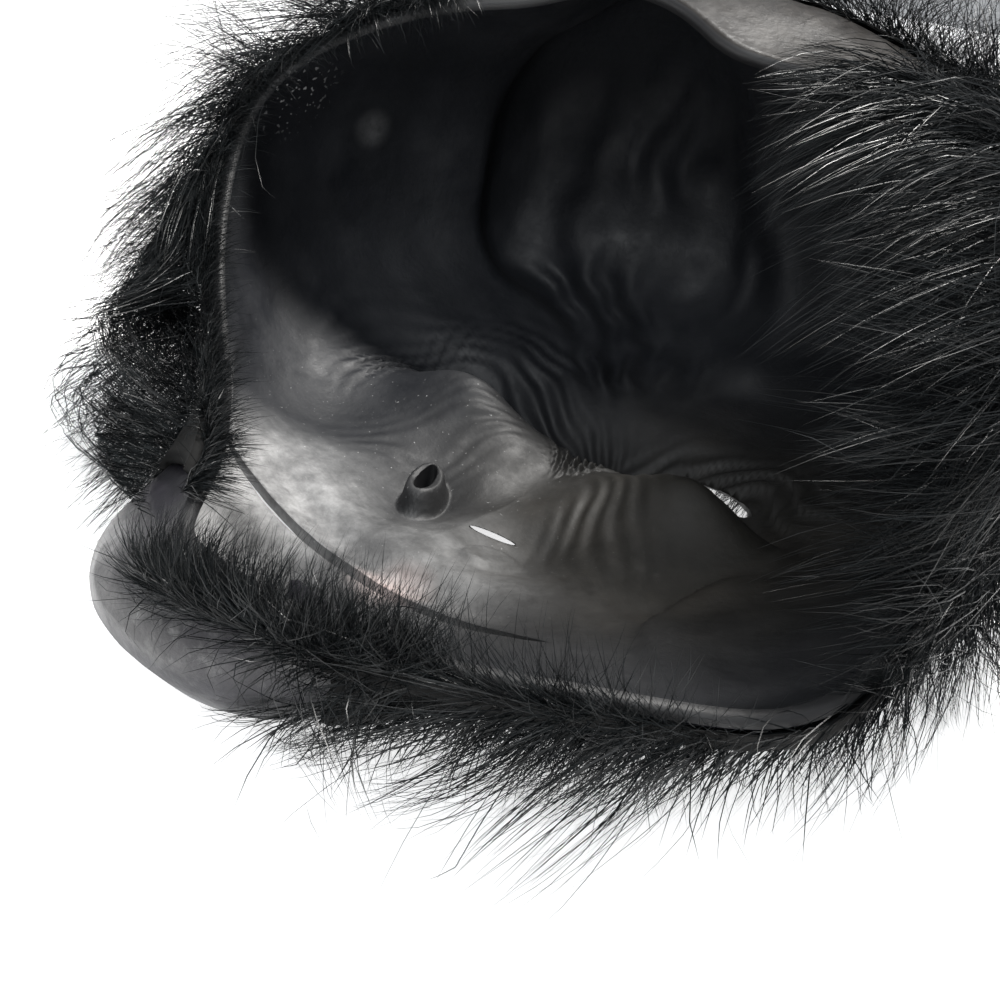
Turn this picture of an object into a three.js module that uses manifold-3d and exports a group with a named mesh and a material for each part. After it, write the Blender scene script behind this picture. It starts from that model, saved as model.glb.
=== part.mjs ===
// Gorilla mask lying on its face: one moulded latex shell and the fur around it.
// Millimetres. +X side of the head, +Y crown, -Y chin, +Z up out of the bowl.
import * as THREE from 'three';
import { mergeVertices } from 'three/addons/utils/BufferGeometryUtils.js';
import Module from 'manifold-3d';

// head form
const HEAD_CENTRE = [0, 30, 50];
const HALF_WIDTH = 104;
const HALF_LENGTH = 116;
const DEPTH_TO_FACE = 46;
const DEPTH_TO_BACK = 58;
const BOXINESS = 2.8;
const WALL = 3;
// opening edge on the +X half, chin to nape
const RIM = [
  [0, -76, 25], [40, -68, 26], [72, -46, 28], [95, -24, 27], [100, -2, 48],
  [96, 14, 76], [80, 36, 90], [48, 54, 94], [0, 62, 95],
];
const RIM_BLEND = 9;
// face relief
const MUZZLE = { y: -30, half_x: 50, half_y: 42, out: 6 };
const NOSE_WING = { x: 16, y: 2, r: 14, out: 8 };
const NOSE_BRIDGE = { y: 24, half_x: 9, half_y: 18, out: 5 };
const NOSTRIL = { wall: 1.9, depth: 13, half_x: 2.8, half_y: 4.8, tilt: 0.35 };
const NOSTRILS = [{ side: -1, x: -17, y: 2, high: 5 }, { side: 1, x: 11, y: -3.5, high: 1 }];
const BROW = { y: 60, bend: 0.003, half_y: 12, half_x: 66, out: 14 };
const EYE = { x: 37, y: 36, half_x: 17, half_y: 11.5, in: 10 };
const SLIT = { x: 41, y: 38, half_x: 12, half_y: 3.2, tilt: -0.16 };
const CHEEK = { x: 58, y: 4, r: 20, out: 5 };
const LIP = { half_y: 9, out: 4 };
const MOUTH = { y: -37, half_x: 51, rise: 0.0012, gap: 1.7 };
const CHIN = { y: -72, half_x: 44, half_y: 25, down: 25, forward: 20, rim: 0.05, lip: 0.93 };
const OCCIPUT = { y: 108, half_x: 70, half_y: 36, up: 16 };
const SQUEEZE = { part: 0.85, y_full: -88, y_none: 22, z_none: 0, z_full: 26, near: -8 };
const NAPE = { dip: 10, half_phi: 48, tilt: 0.3 };
const FLARE = { phi: -34, half_phi: 12, out: 10 };
// wrinkles: over the brow about each eye, and up the crown
const WRINKLE = { x: 30, y: 24, start: 27, pitch: 12, deep: 1.8, rows: 34 };
const CROWN_FOLD = { x: 8, y: 60, from: 92, to: 150, pitch_deg: 14.5, deep: 2.4, start: 36 };
// slumped side wall with its sharp crease, and the groove in the crown
const FOLD = { y: 95, run: 60, drop: 17, x: -48, in: 11 };
const GROOVE = { x_low: -12, x_high: -46, lobe: 22, half: 12, in: 9 };
// coat
const COAT_GAP = 1.8;
const CLEAR = 0.4;
const COAT_EDGE = 1.2;
const PILE = 24;
const LOCK = { turn_deg: 17, slant: 3.4, deep: 3.2, tip_deg: 2.2 };
const PILE_CROWN = 4;
const FRINGE_DEG = 11;
const RIM_SHOWN = { phi: -36, half_phi: 13, part: 0.9 };
const BARE_NEAR_DEG = 16;
const BARE_FAR_DEG = 28;
const BARE_BLEND_DEG = 16;
const FLOP = { phi: 20, half_phi: 34, deg: 8 };
const NAPE_BARE_DEG = 38;
const NAPE_BAND = 0.85;
const NAPE_BLEND_NEAR_DEG = 14;
const NAPE_BLEND_FAR_DEG = 40;
const FACE_FLOOR = -12.9;
const CUT_LOW = -50;
const CUT_HEIGHT = 80;
const COLUMNS = 62;
const ROWS = 20;
const COAT_ROWS = 9;
const DEG = Math.PI / 180;

const bell = (v, w) => Math.exp(-((v / w) ** 2));
const plateau = (v, w, p) => Math.exp(-(Math.abs(v / w) ** p));
const step = (v, a, b) => {
  const s = Math.min(1, Math.max(0, (v - a) / (b - a)));
  return s * s * (3 - 2 * s);
};

// opening edge as an angle from straight down, for every heading
const rimTable = RIM.map(([x, y, z]) => {
  const dx = x - HEAD_CENTRE[0];
  const dy = y - HEAD_CENTRE[1];
  const dz = z - HEAD_CENTRE[2];
  return [Math.atan2(dy, dx) / DEG, Math.atan2(Math.hypot(dx, dy), -dz) / DEG];
});
function rimRaw(phi) {
  let a = (((phi + 90) % 360) + 360) % 360;
  a = (a > 180 ? 360 - a : a) - 90;
  for (let i = 1; i < rimTable.length; i += 1) {
    const [a0, c0] = rimTable[i - 1];
    const [a1, c1] = rimTable[i];
    if (a <= a1) return c0 + (c1 - c0) * ((a - a0) / (a1 - a0));
  }
  return rimTable[rimTable.length - 1][1];
}
function rimAngle(phi) {
  let sum = 0;
  for (let k = -4; k <= 4; k += 1) sum += rimRaw(phi + (k * RIM_BLEND) / 4);
  return sum / 9;
}

function headForm(phi, down) {
  const d = [
    Math.sin(down * DEG) * Math.cos(phi * DEG),
    Math.sin(down * DEG) * Math.sin(phi * DEG),
    -Math.cos(down * DEG),
  ];
  const depth = d[2] < 0 ? DEPTH_TO_FACE : DEPTH_TO_BACK;
  const sum = Math.abs(d[0] / HALF_WIDTH) ** BOXINESS
    + Math.abs(d[1] / HALF_LENGTH) ** BOXINESS
    + Math.abs(d[2] / depth) ** BOXINESS;
  const r = sum ** (-1 / BOXINESS);
  return d.map((v, i) => HEAD_CENTRE[i] + v * r);
}

const mouthLine = (x) => MOUTH.y + MOUTH.rise * x * x;

// how far the face side is pushed out of the head at a point
function faceRelief(x, y) {
  const ax = Math.abs(x);
  let out = MUZZLE.out * plateau(x, MUZZLE.half_x, 3) * plateau(y - MUZZLE.y, MUZZLE.half_y, 3);
  out += NOSE_WING.out * bell(ax - NOSE_WING.x, NOSE_WING.r) * bell(y - NOSE_WING.y, NOSE_WING.r);
  out += NOSE_BRIDGE.out * bell(x, NOSE_BRIDGE.half_x) * bell(y - NOSE_BRIDGE.y, NOSE_BRIDGE.half_y);
  out += BROW.out * bell(y - (BROW.y - BROW.bend * x * x), BROW.half_y) * plateau(x, BROW.half_x, 3);
  out -= EYE.in * bell(ax - EYE.x, EYE.half_x) * bell(y - EYE.y, EYE.half_y);
  out += CHEEK.out * bell(ax - CHEEK.x, CHEEK.r) * bell(y - CHEEK.y, CHEEK.r);
  const lip = bell(Math.abs(y - mouthLine(x)) - LIP.half_y, LIP.half_y / 2);
  out += LIP.out * lip * plateau(x, MOUTH.half_x * 0.8, 4);
  return out;
}

// wrinkles pressed into the skin, positive into the hollow
function wrinkles(x, y, z) {
  const low = 1 - step(z, 40, 70);
  const r = Math.hypot(Math.abs(x) - WRINKLE.x, y - WRINKLE.y);
  const a = Math.atan2(y - WRINKLE.y, WRINKLE.x - Math.abs(x)) / DEG;
  const from = r - WRINKLE.start;
  const arc = step(a, 10, 44) * (1 - step(a, 140, 178));
  const brow = Math.sin((2 * Math.PI * from) / WRINKLE.pitch) * step(from, -3, 6)
    * (1 - step(from, WRINKLE.rows - 12, WRINKLE.rows)) * arc * low;
  const cr = Math.hypot(x - CROWN_FOLD.x, y - CROWN_FOLD.y);
  const ca = Math.atan2(y - CROWN_FOLD.y, x - CROWN_FOLD.x) / DEG;
  const crown = Math.sin((2 * Math.PI * ca) / CROWN_FOLD.pitch_deg)
    * step(cr, CROWN_FOLD.start - 10, CROWN_FOLD.start)
    * step(ca, CROWN_FOLD.from, CROWN_FOLD.from + 10) * (1 - step(ca, CROWN_FOLD.to - 10, CROWN_FOLD.to))
    * (1 - step(z, 55, 92));
  return WRINKLE.deep * brow + CROWN_FOLD.deep * crown;
}

// one side of the jaw leans in over the mouth
function squeezed(x, y, z) {
  const along = 1 - step(y, SQUEEZE.y_full, SQUEEZE.y_none);
  const part = SQUEEZE.part * along * step(z, SQUEEZE.z_none, SQUEEZE.z_full);
  const shift = SQUEEZE.near * part * step(-x, -30, 0);
  return (x < 0 ? x * (1 - part) : x) - shift;
}
// the nape edge sags, more on one side
function napeSag(phi, t, x) {
  return (NAPE.dip + NAPE.tilt * x) * bell(wrapPhi(phi - 90), NAPE.half_phi) * step(t, 0.72, 1);
}

// inner face of the latex
function inner(phi, t) {
  const down = rimAngle(phi) * t;
  const p = headForm(phi, down);
  let [x, y, z] = p;
  const low = 1 - step(z, 24, 50);
  const edge = 1 - step(t, 0.86, 1);
  z -= faceRelief(x, y) * low;
  const chin = plateau(x, CHIN.half_x, 3) * bell(y - CHIN.y, CHIN.half_y) * low;
  z -= CHIN.down * chin * edge;
  y -= CHIN.forward * chin * (CHIN.rim + (1 - CHIN.rim) * (1 - step(t, CHIN.lip, 1)));
  const back = step(p[2], 60, 80);
  z += OCCIPUT.up * bell(p[0], OCCIPUT.half_x) * bell(p[1] - OCCIPUT.y, OCCIPUT.half_y) * back;
  // soft side wall slumped in, ending at a crease
  const s = p[1] - FOLD.y;
  const fold = s < 0 ? 1 - step(-s, 2, FOLD.run) : 1 - step(s, 0, FOLD.drop);
  const slump = FOLD.in * fold * step(-p[0], -FOLD.x - 14, -FOLD.x + 20);
  const gx = GROOVE.x_low + (GROOVE.x_high - GROOVE.x_low) * step(p[2], 10, 95);
  const lobe = GROOVE.in * bell(p[0] - gx - GROOVE.lobe, GROOVE.half) * step(p[1], 100, 122);
  const h = [p[0] - HEAD_CENTRE[0], p[1] - HEAD_CENTRE[1], p[2] - HEAD_CENTRE[2]];
  const len = Math.hypot(...h);
  const push = -(lobe + slump + wrinkles(...p)) / len;
  x += h[0] * push;
  y += h[1] * push;
  z += h[2] * push;
  z -= napeSag(phi, t, x);
  x = squeezed(x, y, z);
  // flared strip of the neck edge
  const flare = FLARE.out * bell(phi - FLARE.phi, FLARE.half_phi) * step(t, 0.82, 1);
  x += flare;
  y -= flare * 0.6;
  return [x, y, z];
}

// head form with no carving, slump or flare: what the coat bulges over
function smoothForm(phi, t) {
  const p = headForm(phi, rimAngle(phi) * t);
  const low = 1 - step(p[2], 24, 50);
  const chin = plateau(p[0], CHIN.half_x, 3) * bell(p[1] - CHIN.y, CHIN.half_y) * low;
  const back = step(p[2], 60, 80);
  const lift = OCCIPUT.up * bell(p[0], OCCIPUT.half_x) * bell(p[1] - OCCIPUT.y, OCCIPUT.half_y);
  const z = p[2] + lift * back - napeSag(phi, t, p[0]);
  return [squeezed(p[0], p[1], z), p[1] - CHIN.forward * chin * 0.5, z];
}

function wrapPhi(phi) {
  return ((((phi + 180) % 360) + 360) % 360) - 180;
}

// point on a surface lying a set distance outside the inner face
function offset(phi0, t, distance, form = inner) {
  const phi = wrapPhi(phi0);
  const p = form(phi, t);
  const tt = Math.max(t, 0.02);
  const dPhi = 1.2 / Math.max(0.15, tt);
  const dT = 0.015;
  const a = form(wrapPhi(phi + dPhi), tt);
  const b = form(wrapPhi(phi - dPhi), tt);
  const c = form(phi, tt + dT);
  const d = form(phi, tt - dT);
  const u = [a[0] - b[0], a[1] - b[1], a[2] - b[2]];
  const v = [c[0] - d[0], c[1] - d[1], c[2] - d[2]];
  const n = [u[1] * v[2] - u[2] * v[1], u[2] * v[0] - u[0] * v[2], u[0] * v[1] - u[1] * v[0]];
  const h = [p[0] - HEAD_CENTRE[0], p[1] - HEAD_CENTRE[1], p[2] - HEAD_CENTRE[2]];
  let len = Math.hypot(...n);
  if (n[0] * h[0] + n[1] * h[1] + n[2] * h[2] < 0) len = -len;
  return p.map((w, i) => w + (n[i] / len) * distance);
}

const fromCentre = (p) => Math.hypot(...p.map((v, i) => v - HEAD_CENTRE[i]));

// coat surface at a set height over the carved or the smooth form, whichever is further out
function outermost(phi, t, distance) {
  const foot = smoothForm(phi, t);
  const top = offset(phi, t, distance, smoothForm);
  const carved = inner(phi, t);
  const base = fromCentre(carved) > fromCentre(foot) ? carved : foot;
  return base.map((v, i) => v + top[i] - foot[i]);
}

function toGeometry(points, faces) {
  const g = new THREE.BufferGeometry();
  g.setAttribute('position', new THREE.Float32BufferAttribute(points.flat(), 3));
  g.setIndex(faces.flat());
  return g;
}

// latex shell: inner sheet, outer sheet, edge strip
function shellGeometry(inside, outside) {
  const pts = [];
  const faces = [];
  const sheet = (distance) => {
    const start = pts.length;
    pts.push(offset(0, 0, distance));
    for (let k = 1; k <= ROWS; k += 1) {
      for (let i = 0; i < COLUMNS; i += 1) pts.push(offset((i * 360) / COLUMNS, k / ROWS, distance));
    }
    return start;
  };
  const inn = sheet(inside);
  const out = sheet(outside);
  const at = (start, i, k) => start + 1 + (k - 1) * COLUMNS + (i % COLUMNS);
  for (let i = 0; i < COLUMNS; i += 1) {
    faces.push([inn, at(inn, i, 1), at(inn, i + 1, 1)]);
    faces.push([out, at(out, i + 1, 1), at(out, i, 1)]);
    for (let k = 1; k < ROWS; k += 1) {
      faces.push([at(inn, i, k), at(inn, i, k + 1), at(inn, i + 1, k + 1)]);
      faces.push([at(inn, i, k), at(inn, i + 1, k + 1), at(inn, i + 1, k)]);
      faces.push([at(out, i, k), at(out, i + 1, k + 1), at(out, i, k + 1)]);
      faces.push([at(out, i, k), at(out, i + 1, k), at(out, i + 1, k + 1)]);
    }
    faces.push([at(inn, i, ROWS), at(out, i, ROWS), at(out, i + 1, ROWS)]);
    faces.push([at(inn, i, ROWS), at(out, i + 1, ROWS), at(inn, i + 1, ROWS)]);
  }
  return toGeometry(pts, faces);
}

// upright cutter through the face for one hole, from its outline in plan
function cutter(outline, bottom, height) {
  const shape = new THREE.Shape(outline.map(([x, y]) => new THREE.Vector2(x, y)));
  const g = new THREE.ExtrudeGeometry(shape, { depth: height, bevelEnabled: false });
  g.translate(0, 0, bottom);
  return g;
}
function oval(cx, cy, rx, ry, tilt, point, count) {
  const out = [];
  for (let i = 0; i < count; i += 1) {
    const a = (i / count) * 2 * Math.PI;
    const u = rx * Math.cos(a);
    const v = ry * Math.sign(Math.sin(a)) * Math.abs(Math.sin(a)) ** point;
    out.push([cx + u * Math.cos(tilt) - v * Math.sin(tilt), cy + u * Math.sin(tilt) + v * Math.cos(tilt)]);
  }
  return out;
}
function mouthOutline() {
  const upper = [];
  const lower = [];
  const count = 12;
  for (let i = 0; i <= count; i += 1) {
    const x = MOUTH.half_x * (-1 + (2 * i) / count);
    const w = MOUTH.gap * Math.sqrt(Math.max(0, 1 - (x / MOUTH.half_x) ** 2));
    lower.push([x, mouthLine(x) - w]);
    if (i > 0 && i < count) upper.unshift([x, mouthLine(x) + w]);
  }
  return lower.concat(upper);
}

// coat: soft thick band over the head, open at the face, chin and nape
function hairlineRadius(phi) {
  const a = Math.abs(wrapPhi(phi - 90));
  const brow = 50;
  const temple = 66;
  const jaw = 98;
  return brow + (temple - brow) * step(a, 20, 90) + (jaw - temple) * step(a, 95, 156);
}
function coatStart(phi) {
  const want = hairlineRadius(phi);
  let lo = 0.1;
  let hi = 0.94;
  for (let i = 0; i < 30; i += 1) {
    const mid = (lo + hi) / 2;
    const p = headForm(phi, rimAngle(phi) * mid);
    if (Math.hypot(p[0], p[1] - HEAD_CENTRE[1]) < want) lo = mid;
    else hi = mid;
  }
  return lo;
}
function coatEnd(phi) {
  const nape = Math.abs(wrapPhi(phi - 90));
  const shown = 1 - RIM_SHOWN.part * bell(wrapPhi(phi - RIM_SHOWN.phi), RIM_SHOWN.half_phi);
  const over = FRINGE_DEG * shown + FLOP.deg * bell(wrapPhi(phi - FLOP.phi), FLOP.half_phi);
  const open = 1 + over / rimAngle(phi);
  const bare = Math.cos(phi * DEG) > 0 ? BARE_NEAR_DEG : BARE_FAR_DEG;
  const chin = step(180 - nape, bare, bare + BARE_BLEND_DEG);
  const side = 1 + (open - 1) * chin;
  const blend = Math.cos(phi * DEG) > 0 ? NAPE_BLEND_NEAR_DEG : NAPE_BLEND_FAR_DEG;
  return NAPE_BAND + (side - NAPE_BAND) * step(nape, NAPE_BARE_DEG, NAPE_BARE_DEG + blend);
}
// locks of hair, rising and falling round the coat and slanting along it
function lockWave(phi, s) {
  const a = (2 * Math.PI * phi) / LOCK.turn_deg + LOCK.slant * s;
  return 0.6 * Math.sin(a) + 0.4 * Math.sin(1.7 * a + 1 - 2 * s);
}
function coatGeometry() {
  const pts = [];
  const faces = [];
  const from = -90 + BARE_NEAR_DEG;
  const span = 360 - BARE_NEAR_DEG - BARE_FAR_DEG;
  const cols = 64;
  const row = COAT_ROWS + 1;
  for (let i = 0; i <= cols; i += 1) {
    const phi = from + (span * i) / cols;
    const t0 = coatStart(phi);
    const t1 = coatEnd(phi) + (LOCK.tip_deg / rimAngle(phi)) * lockWave(phi, 1);
    const side = Math.max(0, Math.sin((Math.PI * i) / cols)) ** 0.35;
    for (let k = 0; k <= COAT_ROWS; k += 1) {
      const s = k / COAT_ROWS;
      const t = t0 + (t1 - t0) * s;
      const body = Math.min(1, (s / 0.35) ** 0.7) * Math.min(1, ((1 - s) / 0.3) ** 0.6);
      const pile = PILE + PILE_CROWN * bell(wrapPhi(phi - 90), 60) * (1 - step(s, 0.3, 0.7));
      const thick = COAT_EDGE + (pile + LOCK.deep * lockWave(phi, s)) * body * side;
      const a = outermost(phi, t, WALL + COAT_GAP);
      const b = outermost(phi, t, WALL + COAT_GAP + thick);
      b[2] = Math.max(b[2], FACE_FLOOR);
      pts.push(a, b);
    }
  }
  const at = (i, k, top) => 2 * (i * row + k) + top;
  for (let i = 0; i < cols; i += 1) {
    for (let k = 0; k < COAT_ROWS; k += 1) {
      faces.push([at(i, k, 0), at(i, k + 1, 0), at(i + 1, k + 1, 0)]);
      faces.push([at(i, k, 0), at(i + 1, k + 1, 0), at(i + 1, k, 0)]);
      faces.push([at(i, k, 1), at(i + 1, k + 1, 1), at(i, k + 1, 1)]);
      faces.push([at(i, k, 1), at(i + 1, k, 1), at(i + 1, k + 1, 1)]);
    }
    faces.push([at(i, 0, 0), at(i + 1, 0, 0), at(i + 1, 0, 1)]);
    faces.push([at(i, 0, 0), at(i + 1, 0, 1), at(i, 0, 1)]);
    faces.push([at(i, COAT_ROWS, 0), at(i, COAT_ROWS, 1), at(i + 1, COAT_ROWS, 1)]);
    faces.push([at(i, COAT_ROWS, 0), at(i + 1, COAT_ROWS, 1), at(i + 1, COAT_ROWS, 0)]);
  }
  for (let k = 0; k < COAT_ROWS; k += 1) {
    faces.push([at(0, k, 0), at(0, k, 1), at(0, k + 1, 1)]);
    faces.push([at(0, k, 0), at(0, k + 1, 1), at(0, k + 1, 0)]);
    faces.push([at(cols, k, 0), at(cols, k + 1, 1), at(cols, k, 1)]);
    faces.push([at(cols, k, 0), at(cols, k + 1, 0), at(cols, k + 1, 1)]);
  }
  return toGeometry(pts, faces);
}

const wasm = await Module();
wasm.setup();
function solid(geometry) {
  const g = new THREE.BufferGeometry();
  g.setAttribute('position', geometry.getAttribute('position').clone());
  if (geometry.index) g.setIndex(geometry.index.clone());
  const m = mergeVertices(g, 1e-4);
  return new wasm.Manifold(new wasm.Mesh({
    numProp: 3,
    vertProperties: new Float32Array(m.getAttribute('position').array),
    triVerts: new Uint32Array(m.index.array),
  }));
}
function fromSolid(body) {
  const m = body.getMesh();
  const g = new THREE.BufferGeometry();
  const pos = new Float32Array((m.vertProperties.length / m.numProp) * 3);
  for (let i = 0; i < pos.length / 3; i += 1) {
    for (let j = 0; j < 3; j += 1) pos[3 * i + j] = m.vertProperties[i * m.numProp + j];
  }
  g.setAttribute('position', new THREE.BufferAttribute(pos, 3));
  g.setIndex(new THREE.BufferAttribute(new Uint32Array(m.triVerts), 1));
  return g;
}

let shell = solid(shellGeometry(0, WALL));
for (const { side, x, y, high } of NOSTRILS) {
  const eye = oval(side * SLIT.x, SLIT.y, SLIT.half_x, SLIT.half_y, side * SLIT.tilt, 1.4, 16);
  shell = shell.subtract(solid(cutter(eye, CUT_LOW, CUT_HEIGHT)));
  const nostril = (grow) => oval(
    x,
    y,
    NOSTRIL.half_x + grow,
    NOSTRIL.half_y + grow,
    side * -NOSTRIL.tilt,
    1,
    14,
  );
  const tube = cutter(nostril(NOSTRIL.wall), high - NOSTRIL.depth, NOSTRIL.depth);
  shell = shell.add(solid(tube)).subtract(solid(cutter(nostril(0), CUT_LOW, CUT_HEIGHT)));
}
shell = shell.subtract(solid(cutter(mouthOutline(), CUT_LOW, CUT_HEIGHT)));
const clearance = solid(shellGeometry(-CLEAR, WALL + CLEAR));
const coatParts = solid(coatGeometry()).subtract(clearance).decompose();
const coat = coatParts.sort((a, b) => b.volume() - a.volume())[0];

const group = new THREE.Group();
group.name = 'gorilla_mask';
const boxes = [shell, coat].map((body) => body.boundingBox());
const lows = [0, 1, 2].map((i) => Math.min(...boxes.map((b) => b.min[i])));
const highs = [0, 1, 2].map((i) => Math.max(...boxes.map((b) => b.max[i])));
const MIDDLE = [0, 1].map((i) => (lows[i] + highs[i]) / 2);
function addPiece(name, body, colour, roughness) {
  const geometry = fromSolid(body);
  geometry.translate(-MIDDLE[0], -MIDDLE[1], -lows[2]);
  geometry.computeVertexNormals();
  const material = new THREE.MeshStandardMaterial({ color: colour, roughness, metalness: 0 });
  material.name = name;
  const mesh = new THREE.Mesh(geometry, material);
  mesh.name = name;
  group.add(mesh);
}
addPiece('latex_mask', shell, 0x3a3a3c, 0.45);
addPiece('fur_coat', coat, 0x141618, 0.95);

export default group;
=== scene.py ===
import math
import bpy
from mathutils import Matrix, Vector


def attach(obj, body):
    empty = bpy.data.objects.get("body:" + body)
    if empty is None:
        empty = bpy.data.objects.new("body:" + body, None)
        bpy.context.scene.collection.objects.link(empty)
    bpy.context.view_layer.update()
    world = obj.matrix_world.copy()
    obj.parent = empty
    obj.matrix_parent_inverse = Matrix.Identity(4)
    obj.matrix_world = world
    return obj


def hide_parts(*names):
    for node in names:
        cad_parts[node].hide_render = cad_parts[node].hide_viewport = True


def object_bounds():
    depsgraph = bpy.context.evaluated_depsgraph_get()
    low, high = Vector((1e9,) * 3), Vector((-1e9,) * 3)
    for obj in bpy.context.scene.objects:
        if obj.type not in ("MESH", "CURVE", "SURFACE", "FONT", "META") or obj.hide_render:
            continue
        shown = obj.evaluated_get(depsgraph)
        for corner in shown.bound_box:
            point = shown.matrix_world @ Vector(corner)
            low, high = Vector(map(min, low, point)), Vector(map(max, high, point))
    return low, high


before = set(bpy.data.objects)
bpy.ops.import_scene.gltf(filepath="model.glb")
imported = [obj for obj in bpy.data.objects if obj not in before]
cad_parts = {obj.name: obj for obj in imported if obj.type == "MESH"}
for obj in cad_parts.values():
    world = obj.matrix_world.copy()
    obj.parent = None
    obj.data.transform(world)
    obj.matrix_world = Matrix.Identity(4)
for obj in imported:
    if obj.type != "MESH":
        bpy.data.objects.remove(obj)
from types import SimpleNamespace as Named
import bpy
import numpy as np
from mathutils import Matrix, Vector
from mathutils.bvhtree import BVHTree

# Gorilla mask lying on its face: one moulded latex skin and the fur around it.
# Millimetres and degrees, on the CAD source's axes: +X side of the head, +Y crown,
# -Y chin, +Z up out of the bowl. In the functions below, phi is the heading round the
# head, down the angle from straight down, and t runs from 0 at the bowl's middle to 1
# at the opening edge.

CAD_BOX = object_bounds()
rng = np.random.default_rng(7)

# the place on these axes that is the frame's origin, on the surface under the mask
MIDDLE = np.array([0.045, 44.336, -12.920])
FLOOR = MIDDLE[2]

# head form, named and sized as in the CAD
CENTRE = np.array([0.0, 30.0, 50.0])
HALF_WIDTH = 104.0
HALF_LENGTH = 116.0
DEPTH_TO_FACE = 46.0
DEPTH_TO_BACK = 58.0
BOXINESS = 2.8
WALL = 3.0
# opening edge on the +X half, chin to nape
RIM = np.array([[0, -76, 25], [40, -68, 26], [72, -46, 28], [95, -24, 27], [100, -2, 48],
                [96, 14, 76], [80, 36, 90], [48, 54, 94], [0, 62, 95]], float)
RIM_BLEND = 9

# face relief; the heights over which the face fades out, and the back of the head fades in
FACE_FADE = (24, 50)
BACK_FADE = (60, 80)
MUZZLE = Named(y=-30, half_x=50, half_y=42, out=6)
NOSE_WING = Named(x=16, y=2, r=14, out=8)
NOSE_BRIDGE = Named(y=24, half_x=9, half_y=18, out=5)
BROW = Named(y=60, bend=0.003, half_y=12, half_x=66, out=14)
SOCKET = Named(x=37, y=36, half_x=17, half_y=11.5, deep=10)
CHEEK = Named(x=58, y=4, r=20, out=5)
MOUTH = Named(y=-37, half_x=51, rise=0.0012, gap=1.7)
LIP = Named(from_mouth=9, half_y=4.5, half_x=40.8, out=4)
CHIN = Named(y=-72, half_x=44, half_y=25, down=25, down_t=(0.86, 1), forward=20, forward_t=(0.93, 1),
             rim=0.05, body=0.95)
SMOOTH_CHIN_FORWARD = 10
OCCIPUT = Named(y=108, half_x=70, half_y=36, up=16)
SQUEEZE = Named(part=0.85, y=(-88, 22), z=(0, 26), near=8, near_x=(-30, 0))
NAPE = Named(phi=90, half_phi=48, dip=10, tilt=0.3, t=(0.72, 1))
FLARE = Named(phi=-34, half_phi=12, out=10, rise=0.6, t=(0.82, 1))
# slumped side wall with its sharp crease, and the groove in the crown; a waver or drift is
# given as height, grain and which of the random fields
SLUMP = Named(y=95, waver=(3.5, 30, 5), run=(2, 60), drop=(0, 7.0), x=(34, 68), deep=11)
GROOVE = Named(x_low=-12, x_high=-46, z=(10, 95), lobe=22, half=12, y=(100, 122), deep=9)

# wrinkles in the skin: places, the ranges over which they fade, and depths
ROPE = Named(x=30, y=24, start=27, pitch=6.6, drift=(5.5, 30, 0), waver=(1.1, 11, 2), deep=1.5, crest=0.9)
ROPE_SPREAD = Named(seam=-100, tight=0.40, opens=0.60, opening=(20, 112), widest=118, closes=0.2,
                    closing=(150, 200))
ROPE_SHOWN = Named(rows_in=(-3, 6), rows_out=(26, 46), arc_in=(10, 44), arc_out=(150, 205))
ROPE_CREST = Named(turn=50, half_turn=30)
CROWN_FOLD = Named(x=8, y=60, pitch_deg=13.5, deep=2.9, swirl=0.10, swirl_from=50, drift=(9, 40, 1),
                   waver=(2.5, 15, 0))
CROWN_SHOWN = Named(arc_in=(88, 104), arc_out=(138, 156), away=(26, 44), z=(55, 92))
NOSE_FOLD = Named(x=22, y=14, across=0.78, up=0.62, pitch=4.8, waver=(3.4, 19, 2), deep=0.9)
NOSE_SHOWN = Named(across=9, half_across=12, up=-3, half_up=21, x=(6, 16))
PANEL = Named(x=57, y=1.5, bend=0.012, deep=2.4, crisp=(-1.2, 1.2), run=(5, 26), y_in=(-38, -26),
              y_out=(14, 24))
WRINKLE_FADE = (40, 70)
RIM_CALM = Named(t=(0.9, 1), part=0.6)
# strengths that come and go over the skin
ROPE_PATCHES = Named(middle=0.75, waver=(0.75, 24, 1), least=0.1, most=1.5)
CROWN_PATCHES = Named(middle=0.8, waver=(0.6, 30, 4), least=0.1, most=1.4)
# soft dents all over the hand-poured skin: depth, grain and which field
DENTS = [(0.8, 34, 3), (0.3, 12, 4), (0.1, 5, 5)]

# openings
NOSTRIL_TUBE = Named(half_x=4.7, half_y=6.7, tilt=0.35, edge=(0.8, 1.3), z=(20, 40))
NOSTRILS = [Named(side=-1, x=-17.0, y=2.0, high=8.0), Named(side=1, x=12.5, y=-6.0, high=2.0)]
LEFT_EYE = Named(x=-41, y=38, half_x=12, half_y=3.2, tilt=0.16, point=1.4)
RIGHT_EYE = Named(x=44.2, y=45.9, half_x=11, half_y=4.8, tilt=-0.11, point=1.4)
LEFT_NOSTRIL = Named(x=-17, y=2, half_x=2.2, half_y=5.0, tilt=0.35, point=1)
RIGHT_NOSTRIL = Named(x=8.9, y=-1.5, half_x=6.6, half_y=1.3, tilt=0.145, point=1)
CUT_LOW = -50.0
CUT_HIGH = 30.0
# how far a cut along the photo's line of sight leans in x and y for each mm of height
SIGHT_LEAN = (1.114, -1.446)

# coat: where it starts, its bare part at the chin and its bare part at the nape
COAT_INSIDE = Named(radius=50, side=16, side_phi=(20, 90), chin=32, chin_phi=(95, 156))
BARE_NEAR = 16.0
BARE_FAR = 28.0
COAT_FROM = -90 + BARE_NEAR
COAT_SPAN = 360 - BARE_NEAR - BARE_FAR
NAPE_BARE = 38.0
NAPE_BLEND_NEAR = 14.0
NAPE_BLEND_FAR = 40.0
NAPE_BAND = 0.85
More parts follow.
